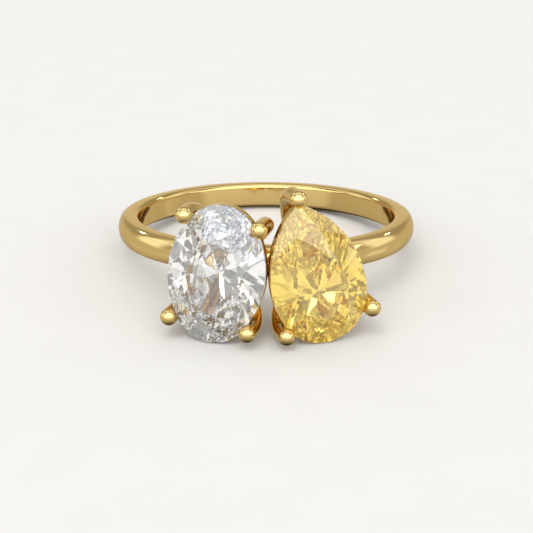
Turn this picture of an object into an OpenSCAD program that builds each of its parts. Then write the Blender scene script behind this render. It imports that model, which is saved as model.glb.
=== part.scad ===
// A toi et moi ring: an oval stone and a pear stone side by side on one plain band.
// Millimetres. The ring lies on its side on the floor, z = 0, with the stones toward -Y.
// It rests on the low ends of both settings and on the back of the band, and is drawn in that pose.

/* [Band] */
// Inside diameter of the band, where the finger goes
finger_d = 17.3; // [15:0.1:21]
// Thickness of the band from its inside to its crown
band_t = 1.36; // [1.3:0.02:1.8]
// Width of the band along the finger
band_w = 1.77; // [1.7:0.01:2.4]
// Radius of the band's domed outside, seen in section
dome_r = 1.3; // [1.25:0.05:1.6]
// Radius between the dome and the band's flat sides
shoulder_r = 0.5; // [0.4:0.05:0.55]
// Radius of the band's inside edges
inside_edge_r = 0.3; // [0.2:0.05:0.35]

/* [Oval stone] */
// Width of the oval stone
oval_w = 6.1; // [5.8:0.05:6.6]
// Length of the oval stone
oval_l = 8.65; // [8.3:0.05:9.2]
// Radius of the oval's two ends
oval_end_r = 2.4; // [2.3:0.05:2.5]
// Turn of the oval in its own plane, its top toward the pear
oval_turn = 8; // [4:0.5:12]

/* [Pear stone] */
// Width of the pear stone
pear_w = 5.85; // [5.7:0.05:6.3]
// Length that the pear has beyond the oval's, the two being a matched pair
pear_longer = 0.27; // [0.1:0.01:0.4]
// Radius of the pear's round end
pear_end_r = 2.83; // [2.8:0.01:2.84]
// Turn of the pear in its own plane, its point toward the oval
pear_turn = 14.5; // [11:0.5:17]

/* [Cut of both stones] */
// Thickness of the stone's edge where it is thinnest
girdle_t = 0.14; // [0.1:0.02:0.2]
// Height that the edge gains at each facet corner
scallop_h = 0.07; // [0.06:0.01:0.09]
// Height of the flat top above the middle of the edge
table_h = 0.94; // [0.9:0.02:1.1]
// Depth of the bottom point below the middle of the edge
culet_h = 2.6; // [2.4:0.05:2.7]
// Size of the flat top as a share of the outline
table_share = 0.55; // [0.53:0.01:0.6]

/* [Setting] */
// Height of the stones' edges above the crown of the band
stone_rise = 2.69; // [2.6:0.01:2.9]
// Outward tilt of each stone
stone_tilt = 15; // [13:0.5:17]
// Gap between the two stones at their edges
stone_gap = 0.27; // [0.25:0.01:0.5]
// Sideways shift of that gap from the middle of the band
gap_shift = 0.11; // [0:0.01:0.2]
// Diameter of the prong wire
prong_d = 1.06; // [1:0.02:1.14]
// Distance from a stone's outline out to the middle of a prong
prong_out = 0.35; // [0.33:0.01:0.4]
// Height of the middle of a prong's rounded end above the stone's edge
prong_end_h = 0.45; // [0.4:0.01:0.5]
// Straight length of a prong before it bends in
prong_straight = 0.85; // [0.8:0.05:0.9]
// Width of the gallery rail under each stone
rail_w = 0.42; // [0.36:0.02:0.46]
// Depth of the rail's lower face below the middle of the stone's edge
rail_bottom = 0.78; // [0.7:0.02:0.86]
// Distance from the stone's outline in to the rail's outer face
rail_inset = 0.05; // [0.03:0.01:0.08]
// Clearance between a stone and the metal round it
seat_gap = 0.04; // [0.03:0.01:0.06]

/* [Hidden] */
$fn = 96;
gold = "#d9ac4c";

// Band
finger_r = finger_d / 2;
crown_r = finger_r + band_t;
dome_c = crown_r - dome_r;
shoulder_z = band_w / 2 - shoulder_r;
shoulder_c = dome_c + sqrt(pow(dome_r - shoulder_r, 2) - shoulder_z * shoulder_z);
shoulder_turn = atan2(shoulder_z, shoulder_c - dome_c);

// Outlines of the stones: a row for each arc with centre x, centre y, radius, first and last angle
oval_side_r = (pow(oval_w / 2, 2) + pow(oval_l / 2 - oval_end_r, 2) - pow(oval_end_r, 2))
    / (oval_w - 2 * oval_end_r);
oval_side_x = oval_side_r - oval_w / 2;
oval_end_y = oval_l / 2 - oval_end_r;
oval_join = atan2(oval_end_y, oval_side_x);
oval_arcs = [
    [-oval_side_x, 0, oval_side_r, -oval_join, oval_join],
    [0, oval_end_y, oval_end_r, oval_join, 180 - oval_join],
    [oval_side_x, 0, oval_side_r, 180 - oval_join, 180 + oval_join],
    [0, -oval_end_y, oval_end_r, 180 + oval_join, 360 - oval_join],
];
pear_side_r = pear_side(oval_l + pear_longer - pear_end_r);
pear_side_x = pear_side_r - pear_w / 2;
pear_point_y = sqrt(pear_side_r * pear_side_r - pear_side_x * pear_side_x);
pear_end_y = sqrt(pow(pear_side_r - pear_end_r, 2) - pear_side_x * pear_side_x);
pear_join = atan2(pear_end_y, pear_side_x);
pear_tip = atan2(pear_point_y, pear_side_x);
pear_arcs = [
    [-pear_side_x, 0, pear_side_r, -pear_join, pear_tip],
    [pear_side_x, 0, pear_side_r, 180 - pear_tip, 180 + pear_join],
    [0, -pear_end_y, pear_end_r, 180 + pear_join, 360 - pear_join],
];

// Facet corners round each outline, as angles seen from the stone's middle; every second one is a main facet
oval_corners = [for (i = [0:15]) atan2(oval_l * sin(22.5 * i), oval_w * cos(22.5 * i))];
pear_half = [-90, -66, -43, -20, 2, 24, 47, 70, 90];
pear_corners = concat(pear_half, [for (i = [7:-1:1]) 180 - pear_half[i]]);

// Where each stone stands: sideways, out from the ring's middle, along the finger, tilt and turn
head_h = crown_r + stone_rise;
oval_reach = (oval_side_r - oval_side_x * cos(oval_turn)) * cos(stone_tilt);
pear_reach = (pear_side_r - pear_side_x * cos(pear_turn)) * cos(stone_tilt);
oval_head = [gap_shift - stone_gap / 2 - oval_reach, head_h, 0, -stone_tilt, oval_turn];
pear_x = gap_shift + stone_gap / 2 + pear_reach;

// Cut stones: length of the flats round their edge and how many go to each half facet
edge_flat = 0.29;
edge_parts = round(PI * (oval_w + oval_l) / 2 / (16 * edge_flat));

// Bottom point of each stone, seen from above: the pear's lies nearer to its round end
oval_culet = [0, 0];
pear_culet = [0, -0.45];

// Heights where the main facets meet, as shares of the way from the edge to the flat top and to the bottom point
star_rise = 0.73;
low_drop = 0.74;

// Heights of the facet corners, and the lower line of each stone's edge
corner_h = girdle_t / 2 + scallop_h;
star_h = corner_h + star_rise * (table_h - corner_h);
low_h = -corner_h - low_drop * (culet_h - corner_h);
oval_low_edge = edge_line(oval_arcs, oval_corners, low_points(oval_arcs, oval_corners, oval_culet), -corner_h);
pear_low_edge = edge_line(pear_arcs, pear_corners, low_points(pear_arcs, pear_corners, pear_culet), -corner_h);

// Prongs: where they meet in the band's crown and how far they run past, and each one's place in its stone's plane
prong_r = prong_d / 2;
foot_r = crown_r - 0.26;
foot_lap = 0.2;
oval_prongs = [for (a = [56.8, 123.2, 233.5, 306.5]) beside(oval_arcs, a)];
pear_prongs = concat([for (a = [220.8, 319.2]) beside(pear_arcs, a)], [[0, pear_point_y + prong_out + 0.04]]);
foot_depth = axis_depth(oval_head);
bend_r = foot_depth + prong_end_h - prong_straight;
oval_foot = [0, 0];

// Resting pose: the pitch at which the band's back and the oval setting's low end touch one floor
pitch = same_height(0, 20, 24);
floor_z = band_support(pitch);

// The pear stands so that its low end touches that floor too
pear_level = [pear_x, head_h, 0, stone_tilt, -pear_turn];
pear_z = (low_end(pear_level, pear_low_edge, pear_end_y, pear_end_r, pitch) - floor_z) / cos(pitch);
pear_head = [pear_x, head_h, pear_z, stone_tilt, -pear_turn];
pear_foot = [0, -pear_z / cos(pear_turn)];
front_y = max(concat(
    [for (p = oval_prongs) end_reach(oval_head, p)],
    [for (p = pear_prongs) end_reach(pear_head, p)]));
back_y = dome_c * cos(pitch) + dome_r;

// Radius of the pear's two long sides, which meet in its point that far from the middle of its round end
function pear_side(reach) =
    let (a = 4 * pear_end_r * pear_end_r, m = reach * reach, e = m - pear_end_r * pear_end_r)
    let (b = 4 * (pear_end_r * e - m * pear_w), c = e * e + m * pear_w * pear_w)
    (-b - sqrt(b * b - 4 * a * c)) / (2 * a);

function unit(v) = v / norm(v);
function turned(a, from) = ((a - from) % 360 + 360) % 360;

// Point of an outline in the direction a from the stone's middle, and the same with its arc's centre
function on_outline(arcs, a) = [for (k = arcs)
    let (c = [k[0], k[1]], d = [cos(a), sin(a)], s = c * d + sqrt(pow(c * d, 2) - c * c + k[2] * k[2]))
    let (p = s * d, t = turned(atan2(p.y - c.y, p.x - c.x), k[3] - 0.001))
    if (t <= k[4] - k[3] + 0.002) [p, c]][0];
function edge_point(arcs, a) = on_outline(arcs, a)[0];
function beside(arcs, a) =
    let (hit = on_outline(arcs, a)) hit[0] + prong_out * unit(hit[0] - hit[1]);

// A head's own directions and points, given in the ring's frame: across, along, and out of the stone
function across(head) = let (t = head[3], b = head[4]) [cos(t) * cos(b), sin(t) * cos(b), -sin(b)];
function along(head) = let (t = head[3], b = head[4]) [cos(t) * sin(b), sin(t) * sin(b), cos(b)];
function outward(head) = [sin(head[3]), -cos(head[3]), 0];
function in_ring(head, p) =
    [head[0], -head[1], head[2]] + p.x * across(head) + p.y * along(head) + p.z * outward(head);

// Depth below a stone at which its own axis comes to the prongs' foot in the band
function axis_depth(head) =
    let (c = [head[0], -head[1], 0], s = c * outward(head)) s - sqrt(s * s - c * c + foot_r * foot_r);

// Depth of the floor under the ring's middle when the low end of a stone and its rail, or the band's back, touches it
function down(p) = [0, sin(p), -cos(p)];
function low_end(head, edge, end_y, end_r, p) =
    let (w = down(p), rail_end = in_ring(head, [0, -end_y, -rail_bottom]))
    max(concat(
        [for (q = edge) in_ring(head, q) * w],
        [rail_end * w + (end_r - rail_inset) * norm([across(head) * w, along(head) * w])]));
function band_support(p) = shoulder_c * sin(p) + shoulder_z * cos(p) + shoulder_r;
function same_height(low, high, steps) =
    let (mid = (low + high) / 2)
    steps == 0 ? mid
    : low_end(oval_head, oval_low_edge, oval_end_y, oval_end_r, mid) > band_support(mid)
    ? same_height(mid, high, steps - 1) : same_height(low, mid, steps - 1);
function end_reach(head, at) =
    let (q = in_ring(head, [at.x, at.y, prong_end_h])) prong_r - q.y * cos(pitch) - q.z * sin(pitch);

function lift(p, h) = [p.x, p.y, h];
function edge_way(arcs, a) = unit(edge_point(arcs, a + 3) - edge_point(arcs, a - 3));

// Crossing of the line through p along u with the line through q along v
function crossing(p, u, q, v) = p + u * ((q - p).x * v.y - (q - p).y * v.x) / (u.x * v.y - u.y * v.x);

// Height above q of the plane through the points a, b and c
function plane_h(a, b, c, q) =
    let (n = cross(b - a, c - a)) a.z - ((q.x - a.x) * n.x + (q.y - a.y) * n.y) / n.z;

// Points where neighbouring main facets meet, at a share of the way from the stone's edge in to a point
function mains_meet(arcs, corners, share, point) = [for (k = [0:7])
    let (a = corners[2 * k], b = corners[(2 * k + 2) % 16])
    let (p = edge_point(arcs, a), q = edge_point(arcs, b))
    crossing(p + share * (point - p), edge_way(arcs, a), q + share * (point - q), edge_way(arcs, b))];
function star_points(arcs, corners) =
    [for (p = mains_meet(arcs, corners, star_rise * (1 - table_share), [0, 0])) lift(p, star_h)];
function low_points(arcs, corners, culet) =
    [for (p = mains_meet(arcs, corners, low_drop, culet)) lift(p, low_h)];

// Upper or lower line of a stone's edge, where its 16 half facets cut the outline
function edge_line(arcs, corners, meets, h) = [for (j = [0:15], i = [0:edge_parts - 1])
    let (next = (j + 1) % 16, step = turned(corners[next], corners[j]) / edge_parts)
    let (p = edge_point(arcs, corners[j]), q = edge_point(arcs, corners[next]))
    let (e = edge_point(arcs, corners[j] + step * i))
    lift(e, plane_h(lift(p, h), lift(q, h), meets[floor(j / 2)], e))];

// Band, in the ring's own frame with the finger along Z
module band_section() {
    inner = finger_r;
    flat_w = band_w / 2 - inside_edge_r;
    intersection() {
        translate([dome_c, 0]) circle(dome_r);
        translate([inner + 0.1, -dome_r * sin(shoulder_turn)])
            square([band_t, 2 * dome_r * sin(shoulder_turn)]);
    }
    for (side = [-1, 1]) {
        translate([shoulder_c, side * shoulder_z]) circle(shoulder_r);
        translate([inner + inside_edge_r, side * flat_w]) circle(inside_edge_r);
    }
    translate([inner, -flat_w]) square([shoulder_c - inner, 2 * flat_w]);
    translate([inner + inside_edge_r, -band_w / 2]) square([shoulder_c - inner - inside_edge_r, band_w]);
}

module band() {
    rotate_extrude($fn = 180) band_section();
}

// Puts a child drawn round a stone's middle, its top toward Z, in its place on the ring
module at_head(head) {
    translate([head[0], -head[1], head[2]])
        rotate([0, 0, head[3]])
            rotate([90, 0, 0])
                rotate([0, 0, -head[4]])
                    children();
}

// Outlines of the stones, drawn the given distance inside the stone's own edge
module oval_outline(inset) {
    join_y = oval_end_y + (oval_end_r - inset) * sin(oval_join);
    for (side = [-1, 1])
        translate([0, side * oval_end_y]) circle(oval_end_r - inset);
    intersection() {
        translate([-oval_side_x, 0]) circle(oval_side_r - inset);
        translate([oval_side_x, 0]) circle(oval_side_r - inset);
        translate([-oval_w, -join_y]) square([2 * oval_w, 2 * join_y]);
    }
}

module pear_outline(inset) {
    join_y = pear_end_y + (pear_end_r - inset) * sin(pear_join);
    translate([0, -pear_end_y]) circle(pear_end_r - inset);
    intersection() {
        translate([-pear_side_x, 0]) circle(pear_side_r - inset);
        translate([pear_side_x, 0]) circle(pear_side_r - inset);
        translate([-pear_w, -join_y]) square([2 * pear_w, join_y + pear_point_y]);
    }
}

// Gallery rail: a thin wall between two outlines, under the stone's edge; the seat slopes its top
module oval_rail() {
    translate([0, 0, -rail_bottom])
        linear_extrude(rail_bottom - corner_h)
            difference() {
                oval_outline(rail_inset);
                oval_outline(rail_inset + rail_w);
            }
}

module pear_rail() {
    translate([0, 0, -rail_bottom])
        linear_extrude(rail_bottom - corner_h)
            difference() {
                pear_outline(rail_inset);
                pear_outline(rail_inset + rail_w);
            }
}

// Seat: the room that a stone's edge takes out of the prongs and the rail, swept along each arc of its outline
module seat(arcs) {
    half = corner_h + seat_gap;
    deep = 0.7;
    past = 0.6;
    for (k = arcs)
        translate([k[0], k[1], 0])
            rotate([0, 0, k[3] - past])
                rotate_extrude(angle = k[4] - k[3] + 2 * past)
                    polygon([
                        [k[2] + seat_gap, -half],
                        [k[2] + seat_gap, half],
                        [k[2] - deep, half + deep],
                        [k[2] - deep, -half - deep],
                    ]);
}

// Prong: a rounded end, a straight leg, a quarter bend and a foot that runs in to where the prongs meet
module prong(at, foot) {
    way = foot - at;
    translate([at.x, at.y, prong_end_h])
        rotate([0, 0, atan2(way.y, way.x)]) {
            rotate_extrude($fn = 48) {
                intersection() {
                    circle(prong_r);
                    square(prong_d);
                }
                translate([0, -prong_straight]) square([prong_r, prong_straight]);
            }
            translate([bend_r, 0, -prong_straight])
                rotate([90, 0, 0])
                    rotate([0, 0, 180])
                        rotate_extrude(angle = 90)
                            translate([bend_r, 0]) circle(prong_r, $fn = 48);
            translate([bend_r, 0, -prong_straight - bend_r])
                rotate([0, 90, 0])
                    cylinder(r = prong_r, h = norm(way) - bend_r + foot_lap, $fn = 48);
        }
}

// Basket: a stone's prongs and its rail, given as the child, less the seat
module basket(head, arcs, prongs, foot) {
    at_head(head)
        difference() {
            union() {
                for (p = prongs) prong(p, foot);
                children();
            }
            seat(arcs);
        }
}

// A brilliant cut on any outline: flat top, 8 stars, 8 mains and 16 halves above the edge, 16 halves and 8 mains below
module brilliant(arcs, corners, culet) {
    n = 16 * edge_parts;
    stars = star_points(arcs, corners);
    lows = low_points(arcs, corners, culet);
    table = [for (k = [0:7]) lift(table_share * edge_point(arcs, corners[2 * k]), table_h)];
    s0 = 8;
    u0 = 16;
    d0 = u0 + n;
    l0 = d0 + n;
    c0 = l0 + 8;
    polyhedron(
        points = concat(table, stars, edge_line(arcs, corners, stars, corner_h),
            edge_line(arcs, corners, lows, -corner_h), lows, [lift(culet, -culet_h)]),
        faces = concat(
            [[for (k = [7:-1:0]) k]],
            [for (k = [0:7]) [k, (k + 1) % 8, s0 + k]],
            [for (k = [0:7]) [k, s0 + k, u0 + 2 * k * edge_parts, s0 + (k + 7) % 8]],
            [for (j = [0:15]) concat([s0 + floor(j / 2)],
                [for (i = [edge_parts:-1:0]) u0 + (j * edge_parts + i) % n])],
            [for (i = [0:n - 1]) [d0 + i, u0 + i, u0 + (i + 1) % n, d0 + (i + 1) % n]],
            [for (j = [0:15]) concat([l0 + floor(j / 2)],
                [for (i = [0:edge_parts]) d0 + (j * edge_parts + i) % n])],
            [for (k = [0:7]) [c0, l0 + (k + 7) % 8, d0 + 2 * k * edge_parts, l0 + k]]),
        convexity = 2);
}

// Lays the whole ring down in its resting pose
module rest() {
    translate([0, (front_y - back_y) / 2, floor_z])
        rotate([-pitch, 0, 0])
            children();
}

module gold_setting() {
    color(gold)
        rest() {
            band();
            basket(oval_head, oval_arcs, oval_prongs, oval_foot) oval_rail();
            basket(pear_head, pear_arcs, pear_prongs, pear_foot) pear_rail();
        }
}

module oval_stone() {
    color("#eef3f8")
        rest() at_head(oval_head) brilliant(oval_arcs, oval_corners, oval_culet);
}

module pear_stone() {
    color("#f0cf5e")
        rest() at_head(pear_head) brilliant(pear_arcs, pear_corners, pear_culet);
}

gold_setting();
oval_stone();
pear_stone();
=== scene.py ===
"""A toi et moi ring lying on its side: gold wire settings, an oval and a pear brilliant, studio light.

Lengths in the tables are millimetres in the ring's own frame, finger along Z and stones toward -Y, as in
the part's source. in_row() lays them down in the resting pose and turns them into metres.
"""
import math

import bpy
import numpy as np
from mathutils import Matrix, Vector


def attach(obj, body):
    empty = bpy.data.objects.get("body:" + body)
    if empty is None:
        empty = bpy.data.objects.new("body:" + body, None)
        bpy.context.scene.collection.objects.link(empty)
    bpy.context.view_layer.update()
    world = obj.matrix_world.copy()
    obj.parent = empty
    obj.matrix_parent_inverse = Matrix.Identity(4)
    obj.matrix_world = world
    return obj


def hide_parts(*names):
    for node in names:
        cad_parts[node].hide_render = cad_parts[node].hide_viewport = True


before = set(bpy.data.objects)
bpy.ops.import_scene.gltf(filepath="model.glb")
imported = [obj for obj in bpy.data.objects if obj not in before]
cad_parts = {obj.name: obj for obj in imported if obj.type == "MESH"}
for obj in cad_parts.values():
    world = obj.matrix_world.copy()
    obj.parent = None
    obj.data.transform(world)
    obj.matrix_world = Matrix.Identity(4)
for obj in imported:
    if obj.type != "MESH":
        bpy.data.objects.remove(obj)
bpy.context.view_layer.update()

# Sizes
MM = 0.001
PITCH = math.radians(8.98753)
MIDDLE_Y, FLOOR_Z = 2.35683, 2.3505

FINGER_R, BAND_T, BAND_W = 8.65, 1.36, 1.77
DOME_R, SHOULDER_R, INSIDE_EDGE_R = 1.3, 0.5, 0.3
CROWN_R = FINGER_R + BAND_T
DOME_C = CROWN_R - DOME_R
SHOULDER_Z = BAND_W / 2 - SHOULDER_R
SHOULDER_C = DOME_C + math.sqrt((DOME_R - SHOULDER_R) ** 2 - SHOULDER_Z ** 2)

OVAL_W, OVAL_L, OVAL_END_R = 6.1, 8.65, 2.4
PEAR_W, PEAR_END_R, PEAR_SIDE_R = 5.85, 2.83, 6.24607
PRONG_R, PRONG_OUT, PRONG_END_H, PRONG_STRAIGHT, FOOT_LAP = 0.53, 0.35, 0.45, 0.85, 0.2
BEND_R = 2.90035
RAIL_W, RAIL_BOTTOM, RAIL_INSET = 0.42, 0.78, 0.05
CORNER_H, SEAT_GAP = 0.14, 0.04
SEAT_HALF = CORNER_H + SEAT_GAP
SEAT_DEEP = 0.7
SEAT_SLOPE = (SEAT_DEEP + SEAT_GAP) / SEAT_DEEP
OVAL_PRONGS = (56.8, 123.2, 233.5, 306.5)
PEAR_PRONGS = (220.8, 319.2)
POINT_PRONG_OUT = PRONG_OUT + 0.04

# Heads: sideways, out from the ring's middle, along the finger, tilt and turn in degrees
OVAL_HEAD = (-2.99481, 12.7, 0.0, -15.0, 8.0)
PEAR_HEAD = (3.17251, 12.7, -0.704137, 15.0, -14.5)


def arcs_of_oval():
    """The oval's outline: four arcs, each a row of centre x, centre y, radius, first and last angle."""
    end_y = OVAL_L / 2 - OVAL_END_R
    side_r = ((OVAL_W / 2) ** 2 + end_y ** 2 - OVAL_END_R ** 2) / (OVAL_W - 2 * OVAL_END_R)
    side_x = side_r - OVAL_W / 2
    join = math.atan2(end_y, side_x)
    return [
        (-side_x, 0.0, side_r, -join, join),
        (0.0, end_y, OVAL_END_R, join, math.pi - join),
        (side_x, 0.0, side_r, math.pi - join, math.pi + join),
        (0.0, -end_y, OVAL_END_R, math.pi + join, 2 * math.pi - join),
    ]


def arcs_of_pear():
    """The pear's outline: two long sides that meet in its point at the top, and a round end."""
    side_x = PEAR_SIDE_R - PEAR_W / 2
    point_y = math.sqrt(PEAR_SIDE_R ** 2 - side_x ** 2)
    end_y = math.sqrt((PEAR_SIDE_R - PEAR_END_R) ** 2 - side_x ** 2)
    join, tip = math.atan2(end_y, side_x), math.atan2(point_y, side_x)
    return [
        (-side_x, 0.0, PEAR_SIDE_R, -join, tip),
        (side_x, 0.0, PEAR_SIDE_R, math.pi - tip, math.pi + join),
        (0.0, -end_y, PEAR_END_R, math.pi + join, 2 * math.pi - join),
    ]


OVAL_ARCS, PEAR_ARCS = arcs_of_oval(), arcs_of_pear()
PEAR_POINT_Y = math.sqrt(PEAR_SIDE_R ** 2 - (PEAR_SIDE_R - PEAR_W / 2) ** 2)


# Frames
def in_row(points):
    """Ring frame to the resting pose in metres: a pitch about X, then the shift onto the floor."""
    p = np.asarray(points, float)
    c, s = math.cos(PITCH), math.sin(PITCH)
    x, y, z = p[..., 0], p[..., 1], p[..., 2]
    return np.stack([x, y * c + z * s + MIDDLE_Y, -y * s + z * c + FLOOR_Z], -1) * MM


def in_ring(head, points):
    """A head's own frame (across, along, out of the stone) to the ring frame: turn, tilt, then shift."""
    x0, out, z0, tilt, turn = head
    t, b = math.radians(tilt), math.radians(turn)
    across = np.array([math.cos(t) * math.cos(b), math.sin(t) * math.cos(b), -math.sin(b)])
    along = np.array([math.cos(t) * math.sin(b), math.sin(t) * math.sin(b), math.cos(b)])
    outward = np.array([math.sin(t), -math.cos(t), 0.0])
    p = np.asarray(points, float)
    return np.array([x0, -out, z0]) + p[..., :1] * across + p[..., 1:2] * along + p[..., 2:] * outward


# Meshes
def grid_piece(name, points, closed_u=False, closed_v=False, poles=(False, False), crease=35):
    """Turns a grid of points, rows along u and columns round v, into a mesh of quads.

    Each quad joins a point to its next in u and v. Where poles is set, the first or last row is one point,
    which is joined to its neighbour row by triangles.
    """
    rows, cols = points.shape[:2]
    index = np.arange(rows * cols).reshape(rows, cols)
    flat = points.reshape(-1, 3)
    body = index[int(poles[0]):rows - int(poles[1])]
    if closed_u:
        body = np.vstack([body, body[:1]])
    wrap = np.hstack([body, body[:, :1]]) if closed_v else body
    quads = np.stack([wrap[:-1, :-1], wrap[1:, :-1], wrap[1:, 1:], wrap[:-1, 1:]], -1).reshape(-1, 4)
    faces = quads.tolist()
    if poles[0]:
        ring = np.append(index[1], index[1, 0])
        faces += np.stack([np.full(cols, index[0, 0]), ring[:-1], ring[1:]], -1).tolist()
    if poles[1]:
        ring = np.append(index[-2], index[-2, 0])
        faces += np.stack([ring[:-1], np.full(cols, index[-1, 0]), ring[1:]], -1).tolist()
    kept = np.ones((rows, cols), bool)
    kept[0, 1:] = not poles[0]
    kept[-1, 1:] = not poles[1]
    used = np.flatnonzero(kept)
    new = np.full(rows * cols, -1)
    new[used] = np.arange(len(used))
    mesh = bpy.data.meshes.new(name)
    mesh.from_pydata(flat[used].tolist(), [], [[int(new[i]) for i in f] for f in faces])
    mesh.validate()
    mesh.shade_smooth()
    mesh.set_sharp_from_angle(angle=math.radians(crease))
    piece = bpy.data.objects.new(name, mesh)
    bpy.context.scene.collection.objects.link(piece)
    return piece


def arc(cx, cy, r, a0, a1, n):
    """n points of an arc, its last end left out."""
    a = np.linspace(a0, a1, n, endpoint=False)
    return np.stack([cx + r * np.cos(a), cy + r * np.sin(a)], -1)


def band_profile():
    """The band's section, radius and height: dome, two shoulders, two flats and soft inside edges."""
    turn = math.atan2(SHOULDER_Z, SHOULDER_C - DOME_C)
    flat_w = BAND_W / 2 - INSIDE_EDGE_R
    edge_c = FINGER_R + INSIDE_EDGE_R
    half = np.pi / 2
    upper = np.vstack([
        arc(DOME_C, 0, DOME_R, 0, turn, 12),
        arc(SHOULDER_C, SHOULDER_Z, SHOULDER_R, turn, half, 10),
        arc(edge_c, flat_w, INSIDE_EDGE_R, half, 2 * half, 8),
    ])
    inside = np.stack([np.full(6, FINGER_R), np.linspace(flat_w, 0, 6, endpoint=False)], -1)
    top = np.vstack([upper, inside])
    lower = np.vstack([[[FINGER_R, 0.0]], (top[1:] * [1, -1])[::-1]])
    return np.vstack([top, lower])


def make_band(turns=384):
    """The band: its section carried once round the finger's axis."""
    section = band_profile()
    a = np.linspace(0, 2 * np.pi, turns, endpoint=False)[:, None]
    r, z = section[:, 0][None], section[:, 1][None]
    ring = np.stack([r * np.cos(a), r * np.sin(a), np.broadcast_to(z, (turns, len(section)))], -1)
    return grid_piece("band", in_row(ring), closed_u=True, closed_v=True)


def inset_outline(arcs, inset, n):
    """An outline inset from the stone's edge: the same centres, shorter radii, cut where sides cross.

    Each row is an arc with its number of points, n of them for each 24 mm of outline.
    """
    parts = []
    for cx, cy, r, a0, a1 in arcs:
        r1, count = r - inset, max(6, round(n * r * (a1 - a0) / 24))
        if len(arcs) == 3 and cx:
            tip = math.acos(abs(cx) / r1)
            a0, a1 = (a0, tip) if cx < 0 else (math.pi - tip, a1)
        parts.append((cx, cy, r1, a0, a1, count))
    return parts


def make_rail(name, arcs, head, n=300):
    """A gallery rail: its section, softened at the corners, carried round the stone's outline.

    The section is a wall whose top slopes down inward as the stone's seat does.
    """
    outer, inner, soft = RAIL_INSET, RAIL_INSET + RAIL_W, 0.05

    def seat_h(inset):
        return -SEAT_HALF - (SEAT_GAP + inset) / SEAT_SLOPE

    top = [(outer, seat_h(outer)), (inner, seat_h(inner))]
    corners = np.array(top + [(inner, -RAIL_BOTTOM), (outer, -RAIL_BOTTOM)])
    section = []
    for i, c in enumerate(corners):
        before, after = corners[i - 1] - c, corners[(i + 1) % 4] - c
        to_before, to_after = np.linalg.norm(before), np.linalg.norm(after)
        cut = min(soft, 0.45 * to_before, 0.45 * to_after)
        p, q = c + before / to_before * cut, c + after / to_after * cut
        t = np.linspace(0, 1, 6)[:, None]
        section.append((1 - t) ** 2 * p + 2 * t * (1 - t) * c + t ** 2 * q)
    section = np.vstack(section)
    columns = []
    for inset, h in section:
        line = np.vstack([arc(*row[:5], row[5]) for row in inset_outline(arcs, inset, n)])
        columns.append(np.column_stack([line, np.full(len(line), h)]))
    points = np.stack(columns, 1)
    return grid_piece(name, in_row(in_ring(head, points)), closed_u=True, closed_v=True)


def seat_room(arcs, points):
    """Pushes points that enter the room of a stone's edge out to its wall, along the arc's radius.

    The room reaches SEAT_GAP past the outline, SEAT_HALF up and down, and slopes in above and below that.
    """
    p = points.copy()
    x, y, z = p[..., 0], p[..., 1], p[..., 2]
    for cx, cy, r, a0, a1 in arcs:
        dx, dy = x - cx, y - cy
        rho = np.hypot(dx, dy)
        turn = (np.arctan2(dy, dx) - a0) % (2 * np.pi)
        inside = turn <= a1 - a0
        wall = r + SEAT_GAP - np.maximum(np.abs(z) - SEAT_HALF, 0) * SEAT_SLOPE
        push = inside & (rho < wall) & (rho > r - SEAT_DEEP)
        k = np.where(push, wall / np.maximum(rho, 1e-9), 1.0)
        p[..., 0] = np.where(push, cx + dx * k, p[..., 0])
        p[..., 1] = np.where(push, cy + dy * k, p[..., 1])
    return p


def make_prong(name, arcs, head, at, foot, around=64):
    """A prong: a round wire with a rounded end, carried down a leg, a quarter bend and a foot in the band.

    Each row is a circle across the wire's path. The stone's seat is then pressed into it.
    """
    way = np.array(foot) - np.array(at)
    length = float(np.hypot(*way))
    tip = np.linspace(0, np.pi / 2, 20)[:-1]
    leg = np.linspace(0, PRONG_STRAIGHT, 48)[:-1]
    bend = np.linspace(0, np.pi / 2, 56)[:-1]
    run = np.linspace(BEND_R, length + FOOT_LAP, 24)
    low = PRONG_END_H - PRONG_STRAIGHT - BEND_R
    x = np.concatenate([tip * 0, leg * 0, BEND_R * (1 - np.cos(bend)), run, run[-1:]])
    z = np.concatenate([PRONG_END_H + PRONG_R * np.cos(tip), PRONG_END_H - leg,
                        PRONG_END_H - PRONG_STRAIGHT - BEND_R * np.sin(bend), run * 0 + low, [low]])
    lean = np.concatenate([tip * 0, leg * 0, bend, run * 0 + np.pi / 2, [np.pi / 2]])
    full = np.full(len(leg) + len(bend) + len(run), PRONG_R)
    radius = np.concatenate([PRONG_R * np.sin(tip), full, [0.0]])
    a = np.linspace(0, 2 * np.pi, around, endpoint=False)[None]
    lean, x, z, radius = (v[:, None] for v in (lean, x, z, radius))
    px = x + radius * np.cos(a) * np.cos(lean)
    pz = z + radius * np.cos(a) * np.sin(lean)
    py = radius * np.sin(a) + 0 * x
    c, s = way / length
    local = np.stack([at[0] + px * c - py * s, at[1] + px * s + py * c, pz], -1)
    local = seat_room(arcs, local)
    return grid_piece(name, in_row(in_ring(head, local)), closed_v=True, poles=(True, True), crease=50)


def beside(arcs, degrees):
    """The place of a prong: where the ray at that angle meets the outline, and PRONG_OUT on past it."""
    d = np.array([math.cos(math.radians(degrees)), math.sin(math.radians(degrees))])
    for cx, cy, r, a0, a1 in arcs:
        c = np.array([cx, cy])
        p = (c @ d + math.sqrt((c @ d) ** 2 - c @ c + r * r)) * d
        if (math.atan2(p[1] - cy, p[0] - cx) - a0 + 1e-5) % (2 * math.pi) <= a1 - a0 + 2e-5:
            return p + PRONG_OUT * (p - c) / np.linalg.norm(p - c)


# Node helpers
def put(tree, socket, value):
    """Sets an input socket: links it where the value is an output socket, or else gives it the value."""
    if isinstance(value, bpy.types.NodeSocket):
        tree.links.new(value, socket)
    else:
        socket.default_value = value


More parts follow.
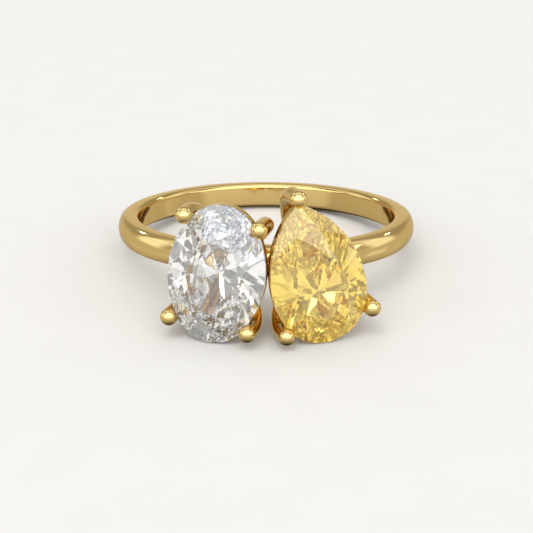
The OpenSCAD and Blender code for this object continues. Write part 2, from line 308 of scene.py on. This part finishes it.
def add(tree, kind, **inputs):
    """A node with its inputs set by name or number: a value, or an output socket to link."""
    node = tree.nodes.new(kind)
    for key, value in inputs.items():
        if hasattr(node, key) and key not in node.inputs:
            setattr(node, key, value)
            continue
        numbered = key[0] == "i" and key[1:].isdigit()
        put(tree, node.inputs[int(key[1:]) if numbered else key.replace("_", " ")], value)
    return node


def math_node(tree, operation, a, b=0.0, c=0.0):
    """The result of one sum on values or sockets."""
    node = tree.nodes.new("ShaderNodeMath")
    node.operation = operation
    for i, value in enumerate((a, b, c)):
        put(tree, node.inputs[i], value)
    return node.outputs[0]


def ramp(tree, value, low, high, to_low=0.0, to_high=1.0):
    """A smooth step from to_low to to_high while the value goes from low to high."""
    node = tree.nodes.new("ShaderNodeMapRange")
    node.interpolation_type = "SMOOTHSTEP"
    tree.links.new(value, node.inputs["Value"])
    for key, v in (("From Min", low), ("From Max", high), ("To Min", to_low), ("To Max", to_high)):
        node.inputs[key].default_value = v
    return node.outputs["Result"]


def mix_value(tree, mask, a, b):
    """The value a where the mask is 0 and b where it is 1."""
    node = tree.nodes.new("ShaderNodeMix")
    for socket, value in ((node.inputs[0], mask), (node.inputs[2], a), (node.inputs[3], b)):
        put(tree, socket, value)
    return node.outputs[0]


def mix_colour(tree, mask, a, b):
    """The colour a where the mask is 0 and b where it is 1."""
    node = tree.nodes.new("ShaderNodeMix")
    node.data_type, node.clamp_factor = "RGBA", False
    for socket, value in ((node.inputs[0], mask), (node.inputs[6], a), (node.inputs[7], b)):
        put(tree, socket, value)
    return node.outputs[2]


def new_material(name):
    """A material with nodes, its tree and its shader."""
    material = bpy.data.materials.new(name)
    material.use_nodes = True
    tree = material.node_tree
    return material, tree, tree.nodes["Principled BSDF"]


# Materials
def polish_group():
    """Marks of polishing and wear: fine crossing scratches and a soft cloudiness, for any polished surface.

    Puts out a scratch mask, a cloud mask and a height, all from noise stretched along two directions.
    """
    group = bpy.data.node_groups.new("polish_marks", "ShaderNodeTree")
    face = group.interface
    face.new_socket("Vector", in_out="INPUT", socket_type="NodeSocketVector")
    scale = face.new_socket("Scale", in_out="INPUT", socket_type="NodeSocketFloat")
    scale.default_value = 1.0
    for name in ("Scratches", "Clouds", "Height"):
        face.new_socket(name, in_out="OUTPUT", socket_type="NodeSocketFloat")
    source, sink = group.nodes.new("NodeGroupInput"), group.nodes.new("NodeGroupOutput")
    size = group.nodes.new("ShaderNodeVectorMath")
    size.operation = "SCALE"
    group.links.new(source.outputs["Vector"], size.inputs[0])
    group.links.new(source.outputs["Scale"], size.inputs["Scale"])
    lines = []
    for turn, stretch in (((0.3, 0.5, 0.2), (900, 9000, 9000)), ((1.1, -0.4, 0.9), (8000, 700, 8000))):
        mapping = add(group, "ShaderNodeMapping", Vector=size.outputs[0], Rotation=turn, Scale=stretch)
        noise = add(group, "ShaderNodeTexNoise", Vector=mapping.outputs[0], Scale=1.0, Detail=2.0)
        lines.append(ramp(group, noise.outputs[0], 0.62, 0.74))
    scratches = math_node(group, "MAXIMUM", *lines)
    clouds = add(group, "ShaderNodeTexNoise", Vector=size.outputs[0], Scale=420.0, Detail=3.0, Roughness=0.6)
    group.links.new(scratches, sink.inputs["Scratches"])
    group.links.new(clouds.outputs[0], sink.inputs["Clouds"])
    height = math_node(group, "MULTIPLY_ADD", scratches, -0.6, clouds.outputs[0])
    group.links.new(height, sink.inputs["Height"])
    return group


POLISH = polish_group()


def polish_marks(tree, vector, scale=1.0):
    """The outputs of the group of polishing marks, used in a material at a scale."""
    node = tree.nodes.new("ShaderNodeGroup")
    node.node_tree = POLISH
    tree.links.new(vector, node.inputs["Vector"])
    node.inputs["Scale"].default_value = scale
    return node.outputs


def gold_material():
    """Polished yellow gold: warm, a little cloudy, with hairline scratches, and satin inside the band; its
    colour also holds painted shade inside the band and in recesses, and painted light in the deepest spots.
    """
    material, tree, shader = new_material("polished_yellow_gold")
    place = add(tree, "ShaderNodeTexCoord").outputs["Object"]
    marks = polish_marks(tree, place)
    centred = add(tree, "ShaderNodeMapping", Vector=place, Location=tuple(-in_row([0, 0, 0])))
    ring = add(tree, "ShaderNodeMapping", Vector=centred.outputs[0], Rotation=(PITCH, 0, 0))
    parts = add(tree, "ShaderNodeSeparateXYZ", i0=ring.outputs[0])
    x, y, z = parts.outputs
    radius = math_node(tree, "SQRT", math_node(tree, "ADD", math_node(tree, "MULTIPLY", x, x),
                                               math_node(tree, "MULTIPLY", y, y)))
    inside = ramp(tree, radius, (FINGER_R + 0.3) * MM, (FINGER_R + 0.05) * MM)
    brush_at = add(tree, "ShaderNodeCombineXYZ", i0=math_node(tree, "ARCTAN2", y, x), i1=radius, i2=z)
    along_brush = add(tree, "ShaderNodeMapping", Vector=brush_at.outputs[0], Scale=(4, 3000, 16000))
    brush = add(tree, "ShaderNodeTexNoise", Vector=along_brush.outputs[0], Scale=1.0, Detail=3.0)
    warm = mix_colour(tree, marks["Clouds"], (0.94, 0.65, 0.235, 1), (0.98, 0.70, 0.275, 1))
    scratched = math_node(tree, "MULTIPLY", marks["Scratches"], 0.25)
    colour = mix_colour(tree, scratched, warm, (0.93, 0.74, 0.42, 1))
    # Painted shade: the gold's colour turns dark brown where ambient occlusion finds recesses, gaps and
    # spots close to the stones
    room = add(tree, "ShaderNodeAmbientOcclusion", Distance=0.0018)
    room.samples = 4
    clear_of_painted_shade = ramp(tree, room.outputs["AO"], 0.3, 0.95)
    # Painted shade: the inside of the band gets a darker gold, standing in for the shade inside the ring
    colour = mix_colour(tree, math_node(tree, "MULTIPLY", inside, 0.6), colour, (0.80, 0.53, 0.18, 1))
    colour = mix_colour(tree, clear_of_painted_shade, (0.32, 0.19, 0.06, 1), colour)
    # Painted light: where ambient occlusion is deepest the colour turns a pale gold, as if light bounced in
    # there
    painted_light_deepest = ramp(tree, room.outputs["AO"], 0.18, 0.06)
    colour = mix_colour(tree, painted_light_deepest, colour, (0.82, 0.70, 0.49, 1))
    tree.links.new(colour, shader.inputs["Base Color"])
    rough = math_node(tree, "MULTIPLY_ADD", marks["Clouds"], 0.03, 0.012)
    rough = math_node(tree, "MULTIPLY_ADD", marks["Scratches"], 0.08, rough)
    satin = math_node(tree, "MULTIPLY_ADD", brush.outputs[0], 0.06, 0.03)
    rough = math_node(tree, "ADD", math_node(tree, "MULTIPLY", inside, satin), rough)
    tree.links.new(rough, shader.inputs["Roughness"])
    shader.inputs["Metallic"].default_value = 1.0
    shader.inputs["Specular Tint"].default_value = (1.0, 0.9, 0.68, 1)
    height = math_node(tree, "MULTIPLY_ADD", math_node(tree, "MULTIPLY", inside, brush.outputs[0]), 0.25,
                       marks["Height"])
    bump = add(tree, "ShaderNodeBump", Strength=0.06, Distance=0.00002, Height=height)
    tree.links.new(bump.outputs[0], shader.inputs["Normal"])
    return material


def stone_material(name, tint, sheen, haze, deep, density):
    """A cut stone: clear, high index, with the faintest polishing marks.

    tint colours what passes its faces, sheen what they mirror, and deep with density what goes through it.
    """
    material, tree, shader = new_material(name)
    place = add(tree, "ShaderNodeTexCoord").outputs["Object"]
    marks = polish_marks(tree, place, 0.6)
    colour = mix_colour(tree, marks["Clouds"], tint, tuple(0.97 * v for v in tint[:3]) + (1,))
    tree.links.new(colour, shader.inputs["Base Color"])
    shader.inputs["Transmission Weight"].default_value = 1.0
    shader.inputs["IOR"].default_value = 2.42
    shader.inputs["Specular Tint"].default_value = sheen
    rough = math_node(tree, "MULTIPLY_ADD", marks["Scratches"], 0.012, haze)
    tree.links.new(rough, shader.inputs["Roughness"])
    volume = add(tree, "ShaderNodeVolumeAbsorption", Color=deep, Density=density)
    output = next(n for n in tree.nodes if n.type == "OUTPUT_MATERIAL")
    tree.links.new(volume.outputs[0], output.inputs["Volume"])
    return material


def floor_material():
    """A matt pale studio sweep, very slightly mottled."""
    material, tree, shader = new_material("pale_floor")
    place = add(tree, "ShaderNodeTexCoord").outputs["Object"]
    noise = add(tree, "ShaderNodeTexNoise", Vector=place, Scale=260.0, Detail=4.0)
    tree.links.new(mix_colour(tree, noise.outputs[0], (0.80, 0.79, 0.77, 1), (0.84, 0.83, 0.81, 1)),
                   shader.inputs["Base Color"])
    shader.inputs["Roughness"].default_value = 0.7
    return material


# The ring
def dress(piece, material):
    """Gives a piece its material and slot, and puts it on the root body."""
    piece.data.materials.clear()
    piece.data.materials.append(material)
    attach(piece, "root")


gold = gold_material()
metal = [make_band()]
metal.append(make_rail("oval_rail", OVAL_ARCS, OVAL_HEAD))
metal.append(make_rail("pear_rail", PEAR_ARCS, PEAR_HEAD))
for i, degrees in enumerate(OVAL_PRONGS):
    at = beside(OVAL_ARCS, degrees)
    metal.append(make_prong(f"oval_prong_{i + 1}", OVAL_ARCS, OVAL_HEAD, at, (0, 0)))
pear_foot = (0, -PEAR_HEAD[2] / math.cos(math.radians(PEAR_HEAD[4])))
pear_places = [beside(PEAR_ARCS, degrees) for degrees in PEAR_PRONGS]
pear_places.append(np.array([0, PEAR_POINT_Y + POINT_PRONG_OUT]))
for i, at in enumerate(pear_places):
    metal.append(make_prong(f"pear_prong_{i + 1}", PEAR_ARCS, PEAR_HEAD, at, pear_foot))
for piece in metal:
    dress(piece, gold)
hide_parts("gold_setting")

# Stones: node, material name, tint, sheen, haze, deep colour and its density
WHITE, BLACK = (1.0, 1.0, 1.0, 1), (0.0, 0.0, 0.0, 1)
AMBER, STRAW, PALE_STRAW = (1.0, 0.735, 0.17, 1), (1.0, 0.95, 0.68, 1), (1.0, 0.95, 0.7, 1)
for node, name, tint, sheen, haze, deep, density in (
    ("oval_stone", "colourless_diamond", WHITE, WHITE, 0.0, BLACK, 14.0),
    ("pear_stone", "yellow_diamond", AMBER, STRAW, 0.02, PALE_STRAW, 30.0),
):
    material = stone_material(name, tint, sheen, haze, deep, density)
    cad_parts[node].data.materials.clear()
    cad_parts[node].data.materials.append(material)

# Floor, light, camera
paths = bpy.context.scene.cycles
paths.max_bounces, paths.transmission_bounces, paths.glossy_bounces = 40, 32, 32


def make_floor(radius=1.6, rings=24, around=96):
    """The floor: a flat disc, a grid in distance and angle."""
    r = radius * np.linspace(0, 1, rings + 1) ** 2
    a = np.linspace(0, 2 * np.pi, around, endpoint=False)
    disc = np.stack([r[:, None] * np.cos(a), r[:, None] * np.sin(a), np.zeros((rings + 1, around))], -1)
    return grid_piece("floor", disc, closed_v=True, poles=(True, False))


floor = make_floor()
floor.data.materials.append(floor_material())
floor.visible_glossy = floor.visible_transmission = False


def make_flag(name, side, material):
    """A dark card flat on the floor under the back of the band, seen only in mirror images, chiefly in the
    gold: a painted dark reflection inside the band.

    It is a strip between two lines of points, on the side of X that side gives.
    """
    near = np.array([(2.9, 10.1), (5.5, 8.8), (7.2, 7.2)])
    far = np.array([(3.2, 11.2), (5.8, 10.4), (8.2, 7.4)])
    strip = np.stack([near, far])[:, ::side]
    places = np.concatenate([strip * [side, 1], np.full((2, 3, 1), 0.02)], -1)
    flag = grid_piece(name, places * MM)
    flag.data.materials.append(material)
    flag.visible_camera = flag.visible_shadow = False
    flag.visible_diffuse = flag.visible_transmission = False


# Painted reflection: this dark brown card shows only as a dark mirror image, painted shade in the gold
# inside the band
flag_material, _, flag_shader = new_material("painted_reflection_card")
flag_shader.inputs["Base Color"].default_value = (0.12, 0.08, 0.035, 1)
flag_shader.inputs["Roughness"].default_value = 0.9
for flag_name, flag_side in (("flag_left", -1), ("flag_right", 1)):
    make_flag(flag_name, flag_side, flag_material)


def direction(azimuth, elevation):
    """The way to a point at an azimuth, 0 toward the viewer and 90 to the right, and an elevation."""
    a, e = math.radians(azimuth), math.radians(elevation)
    return Vector((math.sin(a) * math.cos(e), -math.cos(a) * math.cos(e), math.sin(e)))


def panel(tree, way, azimuth, elevation, half_w, half_h, edge):
    """A mask of the directions that a square panel covers; half_w and half_h are half angles in degrees."""
    front = direction(azimuth, elevation)
    side = Vector((0, 0, 1)).cross(front).normalized() if abs(front.z) < 0.999 else Vector((1, 0, 0))
    top = front.cross(side)
    dots = []
    for axis in (front, side, top):
        node = tree.nodes.new("ShaderNodeVectorMath")
        node.operation = "DOT_PRODUCT"
        tree.links.new(way, node.inputs[0])
        node.inputs[1].default_value = axis
        dots.append(node.outputs["Value"])
    ahead = math_node(tree, "MAXIMUM", dots[0], 0.001)
    mask = ramp(tree, dots[0], 0.0, 0.05)
    for dot, half in ((dots[1], half_w), (dots[2], half_h)):
        reach = math.tan(math.radians(half))
        off = math_node(tree, "ABSOLUTE", math_node(tree, "DIVIDE", dot, ahead))
        mask = math_node(tree, "MULTIPLY", mask, ramp(tree, off, reach + edge, reach - edge))
    return mask


world = bpy.data.worlds.new("studio")
world.use_nodes = True
bpy.context.scene.world = world
sky = world.node_tree
way = add(sky, "ShaderNodeTexCoord").outputs["Generated"]
up = add(sky, "ShaderNodeSeparateXYZ", i0=way).outputs[2]
level = ramp(sky, up, -1.0, -0.75, 0.1, 0.36)
for low, high, gain in ((-0.75, -0.25, 0.2), (0.0, 0.2, -0.1), (0.85, 0.95, 0.3)):
    level = math_node(sky, "ADD", level, ramp(sky, up, low, high, 0.0, gain))
# Panels of light: azimuth, elevation, half width and half height in degrees, strength and soft edge
for azimuth, elevation, half_w, half_h, power, edge in (
    (0, 48, 68, 37, 1.03, 0.04),
    (0, 45, 45, 30, 0.25, 0.2),
    (0, -4, 62, 12, 0.22, 0.06),
    (180, 22, 60, 24, -0.1, 0.2),
    (180, 68, 60, 14, 0.35, 0.1),
    (180, 5, 16, 10, 0.18, 0.1),
    (102, 16, 14, 16, 0.55, 0.12),
    (-102, 16, 14, 16, 0.6, 0.12),
    (105, -35, 25, 12, 0.12, 0.1),
    (-105, -35, 25, 12, 0.12, 0.1),
    (94, -22, 10, 7, 0.2, 0.06),
    (137, 27, 4.5, 1.6, 9.0, 0.015),
    (-142, 25, 4.5, 1.6, 9.0, 0.015),
):
    light = panel(sky, way, azimuth, elevation, half_w, half_h, edge)
    level = math_node(sky, "MULTIPLY_ADD", light, power, level)
# Narrow dark strips that take away most of the light behind them
for azimuth, elevation, half_w, half_h in (
    (-78, 44, 5, 14),
    (78, 44, 5, 14),
    (0, 86, 36, 3),
):
    shade = panel(sky, way, azimuth, elevation, half_w, half_h, 0.03)
    level = math_node(sky, "MULTIPLY", level, math_node(sky, "MULTIPLY_ADD", shade, -0.9, 1.0))
# Rays that leave a stone see light and dark cards; the camera sees one plain level
cards = add(sky, "ShaderNodeTexVoronoi", Vector=way, Scale=2.6)
card = add(sky, "ShaderNodeSeparateColor", i0=cards.outputs["Color"]).outputs[0]
inner = ramp(sky, card, 0.02, 0.9, 0.36, 1.32)
rays = add(sky, "ShaderNodeLightPath").outputs
mirrored = math_node(sky, "SUBTRACT", rays["Is Glossy Ray"], rays["Is Transmission Ray"])
mirrored = math_node(sky, "MAXIMUM", mirrored, 0.0)
cool = math_node(sky, "MULTIPLY", mirrored, ramp(sky, level, 0.5, 1.1))
level = mix_value(sky, rays["Is Transmission Ray"], level, inner)
level = mix_value(sky, rays["Is Camera Ray"], level, 0.84)
background = sky.nodes["Background"]
warm = mix_colour(sky, rays["Is Transmission Ray"], (1.0, 0.99, 0.975, 1), (1.0, 0.975, 0.92, 1))
sky.links.new(mix_colour(sky, cool, warm, (0.985, 1.08, 1.26, 1)), background.inputs["Color"])
sky.links.new(level, background.inputs["Strength"])

target = Vector(in_row([0, -4, 0]))


def softbox(name, azimuth, elevation, distance, size, power):
    """A square of soft light at an azimuth and elevation round the ring, facing it."""
    lamp = bpy.data.lights.new(name, "AREA")
    lamp.shape = "SQUARE"
    lamp.size = size
    lamp.energy = power
    box = bpy.data.objects.new(name, lamp)
    outward = direction(azimuth, elevation)
    box.location = target + outward * distance
    box.rotation_euler = (-outward).to_track_quat("-Z", "Y").to_euler()
    box.visible_glossy = False
    bpy.context.scene.collection.objects.link(box)


softbox("key_front_above", -25, 60, 0.45, 0.16, 0.22)

# Camera fitted to the photo: focal length and shifts in its pixels, rise over the ring's own plane
PHOTO_PIXELS, FOCAL_PIXELS = 533, 1552
SHIFT_RIGHT_PIXELS, SHIFT_UP_PIXELS = 0.38, -42.45
CAMERA_RISE, CAMERA_DISTANCE = math.radians(13.78), 105.8 * MM
SENSOR_W = 36.0
camera_data = bpy.data.cameras.new("camera")
camera_data.sensor_width = SENSOR_W
camera_data.lens = FOCAL_PIXELS / PHOTO_PIXELS * SENSOR_W
camera_data.shift_x = SHIFT_RIGHT_PIXELS / PHOTO_PIXELS
camera_data.shift_y = SHIFT_UP_PIXELS / PHOTO_PIXELS
camera_data.clip_start, camera_data.clip_end = 0.005, 10
camera = bpy.data.objects.new("camera", camera_data)
rise = CAMERA_RISE + PITCH
centre = Vector(in_row([0, 0, 0]))
back = Vector((0, -math.cos(rise), math.sin(rise)))
camera.location = centre + back * CAMERA_DISTANCE
camera.rotation_euler = (-back).to_track_quat("-Z", "Y").to_euler()
bpy.context.scene.collection.objects.link(camera)
bpy.context.scene.camera = camera
bpy.context.scene.view_settings.view_transform = "Standard"
